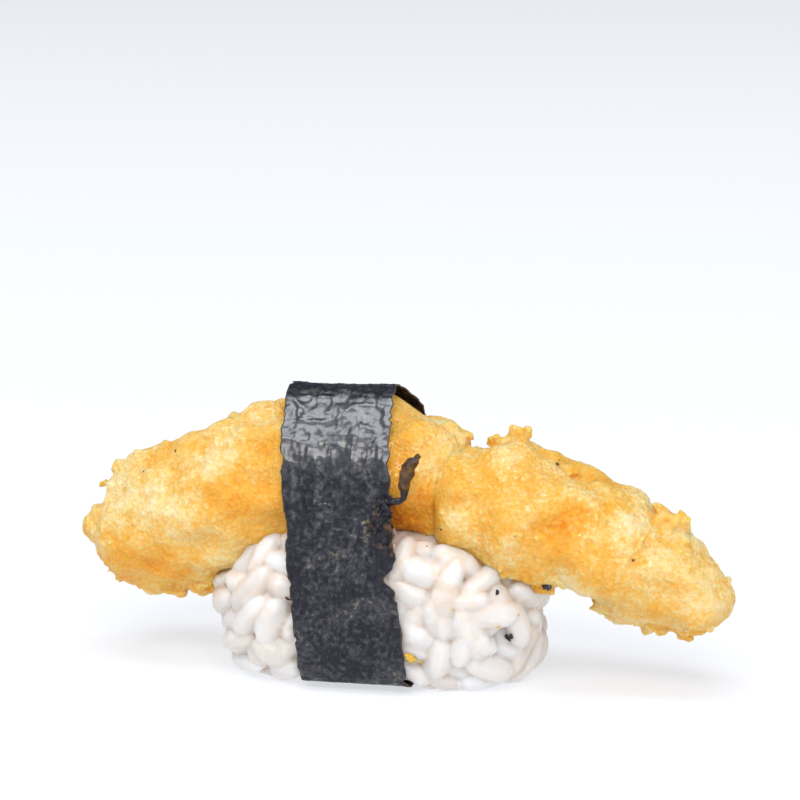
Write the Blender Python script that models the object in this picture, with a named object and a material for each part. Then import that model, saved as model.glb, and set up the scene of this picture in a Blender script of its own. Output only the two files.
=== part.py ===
"""Shrimp tempura nigiri: a hand-pressed block of rice, one battered shrimp laid across it, and a
seaweed strap wrapped round both.

Metres, +Z up. X runs along the shrimp, -Y is the side that faces the eater, and the origin is the middle
of the footprint of the whole. Sizes are given in millimetres and turned into metres where the meshes are
made.
"""

import math

import bpy
import numpy as np
from mathutils import geometry

MM = 0.001

# The rice block: a rounded block that stands on a flat base.
BLOCK_CENTRE = np.array([-3.3, 0.0, 10.9])
BLOCK_HALF = np.array([24.8, 14.0, 13.6])
BLOCK_POWER = 3.3

# One cooked grain of short rice, and how many of them fill the block.
GRAIN_HALF_LENGTH = 3.75
GRAIN_HALF_WIDTH = 1.8
GRAIN_COUNT = 400
GRAIN_SEED = 11
SETTLE_STEPS = 90
SHOWN_DEPTH = 4.1
CORE_INSET = 1.9

# The shrimp bends at its middle, so its batter has two lobes. A station is the lobe's middle (x, y, z), its
# half depth and its half height.
LEFT_LOBE = (
    (-48.6, 1.2, 20.6, 4.4, 5.6),
    (-45.3, 1.1, 20.1, 7.4, 8.1),
    (-39.5, 0.9, 20.8, 9.8, 10.4),
    (-32.5, 0.6, 22.6, 10.6, 11.3),
    (-25.0, 0.3, 26.1, 10.8, 11.7),
    (-17.0, 0.1, 28.6, 10.6, 11.1),
    (-9.0, 0.0, 30.8, 10.4, 10.8),
    (-1.0, 0.1, 30.2, 10.2, 10.5),
    (5.5, 0.5, 29.5, 9.4, 7.9),
    (10.5, 1.0, 28.8, 8.2, 7.6),
)
RIGHT_LOBE = (
    (4.4, -3.0, 26.3, 7.8, 7.4),
    (9.2, -2.6, 26.8, 9.8, 8.6),
    (15.0, -2.3, 26.3, 10.8, 9.2),
    (21.0, -2.1, 24.7, 11.0, 9.2),
    (27.0, -1.9, 23.2, 10.7, 8.2),
    (33.0, -1.8, 19.7, 10.2, 7.8),
    (39.0, -1.7, 16.5, 9.4, 6.9),
    (45.0, -1.6, 14.3, 7.6, 4.9),
    (49.4, -1.6, 13.7, 4.8, 2.8),
)
LOBE_END_ROUND = 4.0
LOBE_RINGS = 29
LOBE_SIDES = 18

# Crags of the batter: the depth and the wavelength of each layer of relief.
CRAG_LAYERS = ((0.42, 13.0), (0.36, 6.5))
CRAG_SEED = 5

# The larger flakes of batter that stand off the shrimp: middle (x, y, z), half sizes and turn about Y in
# degrees.
FLAKES = (
    ("crest_fin", (17.2, -1.0, 35.9), (2.3, 1.2, 1.6), -24),
    ("crest_chip", (14.2, -0.8, 35.6), (1.4, 1.2, 1.0), -20),
    ("waist_rim", (7.9, 0.3, 36.2), (2.0, 2.4, 1.5), 38),
    ("back_ledge", (23.2, -0.6, 32.6), (3.0, 1.8, 1.2), 20),
    ("shoulder_crumb", (40.2, -1.2, 25.4), (2.8, 1.8, 1.4), 30),
    ("left_ledge", (-44.8, 0.6, 27.4), (2.4, 2.8, 1.2), -42),
    ("left_knob", (-46.5, -0.4, 20.1), (3.4, 4.4, 4.0), 0),
    ("left_drip", (-35.4, -0.6, 11.0), (2.0, 1.8, 1.6), 0),
    ("left_frill", (-30.4, -1.8, 12.6), (3.0, 2.8, 1.6), -22),
    ("rest_crumb", (21.6, -6.4, 15.6), (2.4, 1.6, 1.2), 12),
    ("right_frill", (31.0, -2.6, 12.2), (2.6, 2.4, 1.5), 22),
    ("right_drip", (37.0, -2.4, 10.4), (1.8, 1.6, 1.5), 0),
    ("toe_frill", (42.4, -2.0, 9.6), (2.6, 2.4, 1.3), 8),
)
CRUMB_COUNT = 20
CRUMB_HALF = (0.7, 1.5)
CRUMB_SEED = 23

# The seaweed strap: cut width, thickness, and the air left to what it wraps.
STRAP_WIDTH = 16.2
STRAP_THICKNESS = 0.45
STRAP_GAP = 0.35
STRAP_TOP_X = -9.2
STRAP_FOOT_X = -4.6
STRAP_TOP_Z = 43.0
STRAP_BACK_SHIFT = 1.8
STRAP_LAP = 9.0
STRAP_STEPS = 84
STRAP_CELLS = 5
STRAP_RAG = 0.28
STRAP_SEED = 31
TEAR_HEIGHT = 17.6
TEAR_DEPTH = 1.5
TEAR_HALF = 1.5

# The curled shred at the strap's torn edge: the middle of the ribbon (x, y, z) and its width.
SHRED_LINE = (
    (-1.6, -12.15, 28.4, 1.5),
    (0.8, -12.25, 28.8, 1.4),
    (2.6, -12.5, 29.6, 1.3),
    (3.0, -12.7, 31.8, 1.6),
    (3.3, -12.6, 34.0, 1.9),
    (3.9, -12.4, 35.6, 0.8),
)

BODY_GAP = 0.35
STRAP_ROOM = 0.5

RICE_COLOUR = (0.86, 0.84, 0.80)
BATTER_COLOUR = (0.85, 0.55, 0.20)
SEAWEED_COLOUR = (0.02, 0.025, 0.02)


# Curves, relief and mesh helpers ------------------------------------------------------------------


def smooth_through(stations, count):
    """Catmull-Rom curve through the stations, read at count even steps of the station number."""
    stations = np.array(stations, float)
    padded = np.vstack([2 * stations[0] - stations[1], stations, 2 * stations[-1] - stations[-2]])
    t = np.linspace(0, len(stations) - 1, count)
    i = np.minimum(t.astype(int), len(stations) - 2)
    f = (t - i)[:, None]
    a, b, c, d = padded[i], padded[i + 1], padded[i + 2], padded[i + 3]
    return 0.5 * (2 * b + (c - a) * f + (2 * a - 5 * b + 4 * c - d) * f**2 + (3 * b - a - 3 * c + d) * f**3)


def crags(points, seed, layers=CRAG_LAYERS, waves=14):
    """Relief at each point: for each layer, a sum of sine waves in seeded random directions."""
    rng = np.random.default_rng(seed)
    total = np.zeros(len(points))
    for depth, length in layers:
        ways = rng.normal(size=(waves, 3))
        ways *= (rng.uniform(0.7, 1.4, waves) / np.linalg.norm(ways, axis=1))[:, None]
        phase = rng.uniform(0, 2 * math.pi, waves)
        swell = np.sin(points @ ways.T * 2 * math.pi / length + phase).sum(1)
        total += depth * swell / math.sqrt(waves / 2)
    return total


def tube_faces(rings, sides):
    """Triangles of a closed skin: a pole, rings of sides points, and a second pole."""
    first, last = 0, 1 + rings * sides
    faces = [(first, 1 + (j + 1) % sides, 1 + j) for j in range(sides)]
    for i in range(rings - 1):
        low, high = 1 + i * sides, 1 + (i + 1) * sides
        for j in range(sides):
            k = (j + 1) % sides
            faces += [(low + j, low + k, high + k), (low + j, high + k, high + j)]
    top = 1 + (rings - 1) * sides
    faces += [(last, top + j, top + (j + 1) % sides) for j in range(sides)]
    return faces


def unit_ball(rings, sides):
    """Points and triangles of a ball of radius 1 whose poles lie on X."""
    polar = np.pi * (np.arange(rings) + 1) / (rings + 1)
    around = 2 * np.pi * np.arange(sides) / sides
    ring = [
        np.stack([np.full(sides, -np.cos(p)), np.sin(p) * np.cos(around), np.sin(p) * np.sin(around)], 1)
        for p in polar
    ]
    return np.vstack([[-1.0, 0, 0], *ring, [1.0, 0, 0]]), tube_faces(rings, sides)


def frame_along(axis, roll):
    """Three unit vectors, the first along axis and the others turned about it by roll."""
    axis = axis / np.linalg.norm(axis)
    side = np.cross(axis, [0.0, 0.0, 1.0] if abs(axis[2]) < 0.9 else [0.0, 1.0, 0.0])
    side /= np.linalg.norm(side)
    up = np.cross(axis, side)
    cos, sin = np.cos(roll), np.sin(roll)
    return np.array([axis, side * cos + up * sin, up * cos - side * sin])


def mesh_object(name, points_mm, faces):
    mesh = bpy.data.meshes.new(name)
    mesh.from_pydata((np.asarray(points_mm) * MM).tolist(), [], [tuple(f) for f in faces])
    made = bpy.data.objects.new(name, mesh)
    bpy.context.scene.collection.objects.link(made)
    return made


def apply_boolean(target, operation, solver, other=None, collection=None):
    """Runs one Boolean on target and keeps its result as target's own mesh."""
    cut = target.modifiers.new("cut", "BOOLEAN")
    cut.operation = operation
    cut.solver = solver
    if collection:
        cut.operand_type = "COLLECTION"
        cut.collection = collection
    else:
        cut.object = other
    bpy.context.view_layer.update()
    result = bpy.data.meshes.new_from_object(target.evaluated_get(bpy.context.evaluated_depsgraph_get()))
    target.modifiers.clear()
    old, target.data = target.data, result
    bpy.data.meshes.remove(old)
    result.name = target.name


def fuse(base, pieces, solver="MANIFOLD"):
    """One Boolean union of base with all the pieces, which are then removed."""
    group = bpy.data.collections.new("to_fuse")
    bpy.context.scene.collection.children.link(group)
    for piece in pieces:
        bpy.context.scene.collection.objects.unlink(piece)
        group.objects.link(piece)
    apply_boolean(base, "UNION", solver, collection=group)
    for piece in pieces:
        bpy.data.objects.remove(piece)
    bpy.data.collections.remove(group)


def cut_away(target, cutter, solver="MANIFOLD"):
    apply_boolean(target, "DIFFERENCE", solver, other=cutter)
    bpy.data.objects.remove(cutter)


def keep_largest(target):
    """Drops loose scraps: only the connected body with the most points stays."""
    mesh = target.data
    group = np.arange(len(mesh.vertices))
    ends = np.array([e.vertices[:] for e in mesh.edges])
    while True:
        low = np.minimum(group[ends[:, 0]], group[ends[:, 1]])
        new = group.copy()
        np.minimum.at(new, ends[:, 0], low)
        np.minimum.at(new, ends[:, 1], low)
        new = new[new]
        if (new == group).all():
            break
        group = new
    names, counts = np.unique(group, return_counts=True)
    kept = group == names[counts.argmax()]
    if kept.all():
        return
    number = np.cumsum(kept) - 1
    points = np.array([v.co[:] for v in mesh.vertices])[kept]
    faces = [[int(number[v]) for v in p.vertices] for p in mesh.polygons if kept[p.vertices[0]]]
    body = bpy.data.meshes.new(target.name)
    body.from_pydata(points.tolist(), [], faces)
    target.data = body
    bpy.data.meshes.remove(mesh)


# The battered shrimp ------------------------------------------------------------------------------


def lobe_points(stations, grow=0.0):
    """Rings of points round a lobe: an oval carried along the stations' curve, rounded off at both ends, its
    skin pushed out by the crags and by grow."""
    line = smooth_through(stations, 240)
    run = np.concatenate([[0], np.cumsum(np.linalg.norm(np.diff(line[:, :3], axis=0), axis=1))])
    total = run[-1]
    # Rings are crowded towards the ends, where the skin turns.
    share = 0.5 - 0.5 * np.cos(np.pi * (np.arange(LOBE_RINGS) + 1) / (LOBE_RINGS + 1))
    share = 0.45 * share + 0.55 * (np.arange(LOBE_RINGS) + 1) / (LOBE_RINGS + 1)
    at = share * total
    middle = np.stack([np.interp(at, run, line[:, k]) for k in range(3)], 1)
    half = np.stack([np.interp(at, run, line[:, k]) for k in (3, 4)], 1)
    near_end = np.minimum(np.minimum(at, total - at) / LOBE_END_ROUND, 1)
    half *= np.sqrt(1 - (1 - near_end) ** 2)[:, None]
    way = np.gradient(middle, axis=0)
    way /= np.linalg.norm(way, axis=1)[:, None]
    side = np.stack([-way[:, 1], way[:, 0], np.zeros(len(way))], 1)
    side /= np.linalg.norm(side, axis=1)[:, None]
    up = np.cross(way, side)
    turn = 2 * np.pi * np.arange(LOBE_SIDES) / LOBE_SIDES
    out = np.cos(turn)[None, :, None] * side[:, None] * half[:, 0, None, None]
    out = out + np.sin(turn)[None, :, None] * up[:, None] * half[:, 1, None, None]
    size = np.linalg.norm(out, axis=2, keepdims=True)
    ring = middle[:, None] + out
    relief = crags(ring.reshape(-1, 3), CRAG_SEED).reshape(size.shape[:2])
    ring = ring + out / size * (relief * np.minimum(size[..., 0] / 6, 1) + grow)[..., None]
    ends = [line[0, :3] - way[0] * grow, line[-1, :3] + way[-1] * grow]
    return np.vstack([ends[0], ring.reshape(-1, 3), ends[1]])


def lobe(name, stations, grow=0.0):
    return mesh_object(name, lobe_points(stations, grow), tube_faces(LOBE_RINGS, LOBE_SIDES))


def flake(name, middle, half, turn_deg, grow=0.0, rings=4, sides=7):
    """A chip of batter: a flattened ball, roughened by the crags and turned about Y."""
    points, faces = unit_ball(rings, sides)
    turn = math.radians(turn_deg)
    axes = np.array([[math.cos(turn), 0, -math.sin(turn)], [0, 1, 0], [math.sin(turn), 0, math.cos(turn)]])
    solid = np.array(middle) + (points * (np.array(half) + grow)) @ axes
    rough = crags(solid, CRAG_SEED + 1, ((0.2, 3.0),))
    solid += points @ axes * (rough * min(half))[:, None]
    return mesh_object(name, solid, faces)


def crumb_rows():
    """Seeded small crumbs on the skin of both lobes, thickest along the upper and lower edges and none where
    the strap lies."""
    rng = np.random.default_rng(CRUMB_SEED)
    skins = [lobe_points(LEFT_LOBE), lobe_points(RIGHT_LOBE)]
    rows = []
    while len(rows) < CRUMB_COUNT:
        i = len(rows)
        ring = rng.integers(3, LOBE_RINGS - 3)
        quarter = rng.choice([0.25, 0.75]) * LOBE_SIDES
        place = skins[i % 2][1 + ring * LOBE_SIDES + int(quarter + rng.normal(0, 2.0)) % LOBE_SIDES]
        if abs(place[0] - STRAP_TOP_X) < STRAP_WIDTH / 2 + 3.5:
            continue
        half = rng.uniform(*CRUMB_HALF, 3) * [1.3, 1.0, 0.7]
        rows.append((f"crumb_{i}", tuple(place), tuple(half), rng.uniform(-40, 40)))
    return rows


def shrimp(name, grow=0.0):
    """Both lobes, the flakes and the crumbs as one solid. With grow it is the room they need in the rice."""
    body = lobe(name, LEFT_LOBE, grow)
    pieces = [lobe(name + "_right", RIGHT_LOBE, grow)]
    pieces += [flake(f"{name}_{row[0]}", *row[1:], grow) for row in FLAKES]
    pieces += [flake(f"{name}_{row[0]}", *row[1:], grow, rings=3, sides=5) for row in crumb_rows()]
    fuse(body, pieces)
    keep_largest(body)
    return body


# The seaweed strap --------------------------------------------------------------------------------


def block_rim(x, count=60):
    """Outline (y, z) of the rice block where the plane at x cuts it, down to its flat base."""
    turn = 2 * np.pi * np.arange(count) / count
    room = (1 - abs((x - BLOCK_CENTRE[0]) / BLOCK_HALF[0]) ** BLOCK_POWER) ** (1 / BLOCK_POWER)
    cos, sin = np.cos(turn), np.sin(turn)
    bulge = (abs(cos) ** BLOCK_POWER + abs(sin) ** BLOCK_POWER) ** (-1 / BLOCK_POWER) * room
    y = BLOCK_HALF[1] * bulge * cos
    z = BLOCK_CENTRE[2] + BLOCK_HALF[2] * bulge * sin
    return np.stack([y, z], 1)


def strap_loop(shrimp_points, foot):
    """The taut loop (y, z) round the block and the shrimp: the convex outline of both, pushed out by the
    gap, starting under the block and running up the back, over the top and down the front."""
    near = abs(shrimp_points[:, 0] - STRAP_TOP_X) < STRAP_WIDTH / 2 + 1
    cloud = np.vstack([shrimp_points[near][:, 1:], block_rim(STRAP_FOOT_X)])
    cloud[:, 1] = np.maximum(cloud[:, 1], foot)
    hull = cloud[geometry.convex_hull_2d([tuple(p) for p in cloud])]
    turn = np.linspace(-math.pi / 2, 1.5 * math.pi, 361)[:-1]
    normal = np.stack([np.cos(turn), np.sin(turn)], 1)
    touch = hull[(normal @ hull.T).argmax(1)] + normal * STRAP_GAP
    # The strap starts at the middle of its straight run under the block.
    start = np.array([[0.0, touch[:, 1].min()]])
    return np.vstack([start, touch[1:], start])


def along(loop, at):
    """Points and outward normals (y, z) of the loop at distances at, which may go on past one round."""
    run = np.concatenate([[0], np.cumsum(np.linalg.norm(np.diff(loop, axis=0), axis=1))])
    here = np.stack([np.interp(at % run[-1], run, loop[:, k]) for k in range(2)], 1)
    ahead = np.stack([np.interp((at + 1.2) % run[-1], run, loop[:, k]) for k in range(2)], 1)
    behind = np.stack([np.interp((at - 1.2) % run[-1], run, loop[:, k]) for k in range(2)], 1)
    way = ahead - behind
    way /= np.linalg.norm(way, axis=1)[:, None]
    return here, np.stack([way[:, 1], -way[:, 0]], 1), run[-1]


def smooth_step(x, low, high):
    t = np.clip((x - low) / (high - low), 0, 1)
    return t * t * (3 - 2 * t)


def strap_edges(at, z, back):
    """The strap's two ragged edges (x), leaning from its foot to its top, with the tear in its front right
    edge."""
    middle = STRAP_FOOT_X + (STRAP_TOP_X - STRAP_FOOT_X) * z / STRAP_TOP_Z + STRAP_BACK_SHIFT * back
    rng = np.random.default_rng(STRAP_SEED)
    edges = []
    for sign in (-1, 1):
        rag = np.zeros(len(at))
        for length in (11.0, 5.2, 2.9):
            rag += np.sin(2 * np.pi * at / length + rng.uniform(0, 2 * math.pi)) * rng.uniform(0.3, 0.5)
        tear = TEAR_DEPTH * np.exp(-(((z - TEAR_HEIGHT) / TEAR_HALF) ** 2)) * (sign > 0) * (back < 0.5)
        edges.append(middle + sign * (STRAP_WIDTH / 2 + STRAP_RAG * rag - tear))
    return edges


def shred(name):
    """The torn shred that curls away from the strap's front right edge: a narrow ribbon along a curve."""
    line = smooth_through(SHRED_LINE, 12)
    way = np.gradient(line[:, :3], axis=0)
    across = np.stack([-way[:, 2], np.zeros(len(way)), way[:, 0]], 1)
    across *= (line[:, 3] / 2 / np.linalg.norm(across, axis=1))[:, None]
    deep = np.array([0.0, STRAP_THICKNESS / 2, 0.0])
    corners = [across - deep, -across - deep, -across + deep, across + deep]
    ring = np.stack([line[:, :3] + corner for corner in corners], 1).reshape(-1, 3)
    points = np.vstack([line[0, :3], ring, line[-1, :3]])
    return mesh_object(name, points, tube_faces(len(line), 4))


def strap(name, loop, at, inner, outer, lift, closed=False, grow=0.0):
    """A sheet wound round the loop at distances at along it. inner and outer are the distances of its two
    faces from the loop, lift raises each step, and grow widens it. A closed one joins up, and an open one has
    two cut ends."""
    here, normal, _ = along(loop, at)
    back = smooth_step(here[:, 0], 2.0, 8.0)
    left, right = strap_edges(at, here[:, 1], back)
    share = np.linspace(0, 1, STRAP_CELLS + 1)
    x = (left - grow)[:, None] * (1 - share) + (right + grow)[:, None] * share
    sheets = []
    for offset in (inner, outer):
        spot = here + normal * (offset + lift)[:, None]
        y, z = spot[:, :1] + 0 * x, spot[:, 1:] + 0 * x
        sheets.append(np.stack([x, y, z], 2).reshape(-1, 3))
    wide, step = len(share), len(share) * len(at)
    faces = []
    for i in range(len(at) if closed else len(at) - 1):
        low, high = i * wide, (i + 1) % len(at) * wide
        for j in range(STRAP_CELLS):
            a, b, c, d = low + j, low + j + 1, high + j + 1, high + j
            faces += [(a, b, c), (a, c, d), (step + a, step + c, step + b), (step + a, step + d, step + c)]
        a, d = low, high
        faces += [(a, d, step + d), (a, step + d, step + a)]
        a, d = low + STRAP_CELLS, high + STRAP_CELLS
        faces += [(step + d, d, a), (step + a, step + d, a)]
    for i, flip in () if closed else ((0, True), (len(at) - 1, False)):
        for j in range(STRAP_CELLS):
            a, b = i * wide + j, i * wide + j + 1
            wall = [(a, b, step + b), (a, step + b, step + a)]
            faces += [w[::-1] for w in wall] if flip else wall
    return mesh_object(name, np.vstack(sheets), faces)


def wound_strap(name, loop):
    """The strap itself: one round of the loop, its ends lapped under the block, where the last stretch steps
    out over the first by one thickness and a gap."""
    around = along(loop, np.zeros(1))[2]
    at = np.linspace(-STRAP_LAP / 2, around + STRAP_LAP / 2, STRAP_STEPS)
    over = smooth_step(at, around - STRAP_LAP * 1.3, around - STRAP_LAP * 0.6)
    lift = (STRAP_THICKNESS + STRAP_GAP) * over
    return strap(name, loop, at, 0.0, STRAP_THICKNESS, lift)


def strap_room(name, loop):
    """The room that the strap needs in the rice: a closed ring from just inside the strap outwards."""
    around = along(loop, np.zeros(1))[2]
    at = np.linspace(0, around, STRAP_STEPS, endpoint=False)
    return strap(name, loop, at, -STRAP_ROOM, 5.0, np.zeros(STRAP_STEPS), closed=True, grow=STRAP_ROOM)


# The rice -----------------------------------------------------------------------------------------


def block_measure(points, inset=0.0):
    """How far out points lie in the block: 1 is its skin, moved in by inset."""
    scaled = np.abs(points - BLOCK_CENTRE) / (BLOCK_HALF - inset)
    return (scaled**BLOCK_POWER).sum(-1) ** (1 / BLOCK_POWER)


def settle_grains():
    """Middles and long axes of the grains. Each is a row of three beads. Beads that overlap push each other
    apart, the block's skin and base and the shrimp push them in, and the grains turn to suit."""
    rng = np.random.default_rng(GRAIN_SEED)
    bead, reach = GRAIN_HALF_WIDTH * 0.94, GRAIN_HALF_LENGTH - GRAIN_HALF_WIDTH
    middle = BLOCK_CENTRE + rng.uniform(-0.8, 0.8, (GRAIN_COUNT, 3)) * BLOCK_HALF
    axis = rng.normal(size=(GRAIN_COUNT, 3))
    axis /= np.linalg.norm(axis, axis=1)[:, None]
    steps = np.array([-reach, 0.0, reach])
    blocks = np.vstack([smooth_through(s, 30) for s in (LEFT_LOBE, RIGHT_LOBE)])
    blocks_reach = blocks[:, 3:].mean(1) + bead
    number = np.repeat(np.arange(GRAIN_COUNT), 3)
    for step in range(SETTLE_STEPS):
        beads = (middle[:, None] + axis[:, None] * steps[None, :, None]).reshape(-1, 3)
        if step % 8 == 0:
            span = (beads**2).sum(1)
            near = span[:, None] + span[None] - 2 * beads @ beads.T < (2 * bead + 1.6) ** 2
            one, two = np.nonzero(np.triu(near & (number[:, None] != number[None]), 1))
        push = np.zeros_like(beads)
        gap = beads[one] - beads[two]
        far = np.linalg.norm(gap, axis=1) + 1e-9
        shove = gap * (np.maximum(2 * bead - far, 0) / far * 0.42)[:, None]
        for k in range(3):
            push[:, k] += np.bincount(one, shove[:, k], len(beads))
            push[:, k] -= np.bincount(two, shove[:, k], len(beads))
        out = block_measure(beads, bead)[:, None]
        push += (BLOCK_CENTRE + (beads - BLOCK_CENTRE) / np.maximum(out, 1) - beads) * 0.8
        push[:, 2] += np.maximum(bead - beads[:, 2], 0)
        gap = beads[:, None] - blocks[None, :, :3]
        far = np.linalg.norm(gap, axis=2)
        bite = np.maximum(blocks_reach * 0.96 - far, 0)
        worst = bite.argmax(1)
        row = np.arange(len(beads))
        push += gap[row, worst] / far[row, worst][:, None] * bite[row, worst][:, None] * 0.6
        push = push.reshape(GRAIN_COUNT, 3, 3)
        middle += push.mean(1) * 1.2
        axis += (push * steps[None, :, None]).sum(1) / (2 * reach**2) * 0.8
        axis /= np.linalg.norm(axis, axis=1)[:, None]
    return middle, axis


def grain(name, middle, axis, roll, size):
    """A plump grain of 30 triangles, a little flattened."""
    points, faces = unit_ball(3, 5)
    half = np.array([GRAIN_HALF_LENGTH, GRAIN_HALF_WIDTH * 1.08, GRAIN_HALF_WIDTH * 0.96]) * size
    return mesh_object(name, middle + (points * half) @ frame_along(axis, roll), faces)


def rice(name):
    """A core with the grains that show fused on."""
    points, faces = unit_ball(9, 14)
    away = np.abs(points) ** BLOCK_POWER
    points = points / (away.sum(1) ** (1 / BLOCK_POWER))[:, None]
    core = mesh_object(name, BLOCK_CENTRE + points * (BLOCK_HALF - CORE_INSET), faces)
    middle, axis = settle_grains()
    rng = np.random.default_rng(GRAIN_SEED + 1)
    rolls = rng.uniform(0, 2 * math.pi, GRAIN_COUNT)
    sizes = rng.uniform(0.94, 1.06, GRAIN_COUNT)
    shown = (1 - block_measure(middle)) * BLOCK_HALF.mean() < SHOWN_DEPTH * 0.8
    # Those under the strap or pressed between the base and the board don't show.
    aside = abs(middle[:, 0] - (STRAP_TOP_X + STRAP_FOOT_X) / 2) > STRAP_WIDTH / 2 - GRAIN_HALF_LENGTH
    plan = np.linalg.norm((middle - BLOCK_CENTRE)[:, :2] / BLOCK_HALF[:2], axis=1)
    shown &= aside & ((middle[:, 2] > 4.5) | (plan > 0.62))
    grains = [grain(f"grain_{i}", middle[i], axis[i], rolls[i], sizes[i]) for i in np.nonzero(shown)[0]]
    fuse(core, grains)
    return core


def floor_cutter():
    """Everything under the base plane."""
    corners = [(x, y, z) for x in (-80, 80) for y in (-80, 80) for z in (-30, 0)]
    faces = [(0, 1, 3, 2), (4, 6, 7, 5), (0, 4, 5, 1), (2, 3, 7, 6), (0, 2, 6, 4), (1, 5, 7, 3)]
    return mesh_object("floor_cutter", corners, faces)


# Building -----------------------------------------------------------------------------------------


def finish_with(target, name, colour, roughness):
    material = bpy.data.materials.new(name)
    material.use_nodes = True
    shader = material.node_tree.nodes["Principled BSDF"]
    shader.inputs["Base Color"].default_value = (*colour, 1)
    shader.inputs["Roughness"].default_value = roughness
    target.data.materials.clear()
    target.data.materials.append(material)


def build():
    for old in list(bpy.data.objects):
        bpy.data.objects.remove(old)
    tempura = shrimp("shrimp_tempura")
    skin = np.array([v.co[:] for v in tempura.data.vertices]) / MM
    lapped = STRAP_GAP + 2 * STRAP_THICKNESS + STRAP_GAP
    loop = strap_loop(skin, lapped)
    nori = wound_strap("nori_strap", loop)
    fuse(nori, [shred("shred")])
    ball = rice("rice_ball")
    cut_away(ball, shrimp("shrimp_room", BODY_GAP))
    cut_away(ball, strap_room("strap_room", loop))
    cut_away(ball, floor_cutter())
    keep_largest(ball)
    finish_with(tempura, "fried_batter", BATTER_COLOUR, 0.45)
    finish_with(nori, "roasted_seaweed", SEAWEED_COLOUR, 0.4)
    finish_with(ball, "cooked_rice", RICE_COLOUR, 0.35)


build()
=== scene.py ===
import math

import bpy
import numpy as np
from mathutils import Matrix, Vector, bvhtree, geometry


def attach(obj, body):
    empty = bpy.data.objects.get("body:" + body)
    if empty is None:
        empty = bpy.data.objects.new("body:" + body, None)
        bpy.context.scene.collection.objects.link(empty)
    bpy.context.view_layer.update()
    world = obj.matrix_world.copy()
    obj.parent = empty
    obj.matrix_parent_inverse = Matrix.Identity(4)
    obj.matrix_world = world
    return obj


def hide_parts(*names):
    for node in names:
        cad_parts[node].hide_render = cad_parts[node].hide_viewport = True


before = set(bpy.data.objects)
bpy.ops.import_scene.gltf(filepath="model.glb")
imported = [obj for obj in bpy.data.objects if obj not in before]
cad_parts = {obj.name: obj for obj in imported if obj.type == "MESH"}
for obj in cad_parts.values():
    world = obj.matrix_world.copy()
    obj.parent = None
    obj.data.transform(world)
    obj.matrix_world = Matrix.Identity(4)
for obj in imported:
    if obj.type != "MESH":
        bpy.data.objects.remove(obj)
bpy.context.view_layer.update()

# Fried shrimp ----------
# One shrimp in tempura batter, bent at its middle so that it shows as two lobes with a crease between
# them. The batter is flour, egg and iced water, fried crisp: lumpy, full of small bubbles, and drawn out
# into thin flakes along its edges. Sizes are millimetres, and meshes are made in metres.
MM = 0.001
# Stations of each lobe: its middle (x, y, z), half depth and half height.
LEFT_LOBE = np.array([
    (-48.6, 1.2, 20.6, 4.4, 5.6), (-45.3, 1.1, 20.1, 7.4, 8.1), (-39.5, 0.9, 20.8, 9.8, 10.4),
    (-32.5, 0.6, 22.6, 10.6, 11.3), (-25.0, 0.3, 26.1, 10.8, 11.7), (-17.0, 0.1, 28.6, 10.6, 11.1),
    (-9.0, 0.0, 30.8, 10.4, 10.8), (-1.0, 0.1, 30.2, 10.2, 10.5), (5.5, 0.5, 29.5, 9.4, 7.9),
    (10.5, 1.0, 28.8, 8.2, 7.6),
])
RIGHT_LOBE = np.array([
    (4.4, -3.0, 26.3, 7.8, 7.4), (9.2, -2.6, 26.8, 9.8, 8.6), (15.0, -2.3, 26.3, 10.8, 9.2),
    (21.0, -2.1, 24.7, 11.0, 9.2), (27.0, -1.9, 23.2, 10.7, 8.2), (33.0, -1.8, 19.7, 10.2, 7.8),
    (39.0, -1.7, 16.5, 9.4, 6.9), (45.0, -1.6, 14.3, 7.6, 4.9), (49.4, -1.6, 13.7, 4.8, 2.8),
])
LOBE_END_ROUND = 4.0
CRAG_SEED = 5
# Chips of batter on each lobe: middle (x, y, z), half sizes (x, y, z) and turn about Y in degrees.
LEFT_CHIPS = (
    (7.9, 0.3, 36.2, 1.9, 2.2, 1.1, 38), (-44.8, 0.6, 27.4, 2.4, 2.8, 1.0, -42),
    (-46.5, -0.4, 20.1, 3.4, 4.4, 4.0, 0), (-35.4, -0.6, 11.0, 2.0, 1.8, 1.6, 0),
    (-30.4, -1.8, 12.6, 3.0, 2.8, 1.6, -22), (6.9, -0.2, 37.5, 1.3, 0.5, 0.9, 14),
    (9.3, 0.0, 36.4, 1.1, 0.5, 0.8, 42), (-45.3, 0.6, 28.7, 1.4, 0.5, 0.7, -40),
    (-47.6, 0.8, 26.2, 1.0, 0.5, 0.6, -60), (-36.2, -0.8, 10.0, 1.1, 0.5, 0.7, -6),
    (-32.2, -1.4, 10.8, 1.3, 0.5, 0.7, 6), (-28.6, -3.0, 12.0, 1.1, 0.5, 0.8, 24),
)
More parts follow.
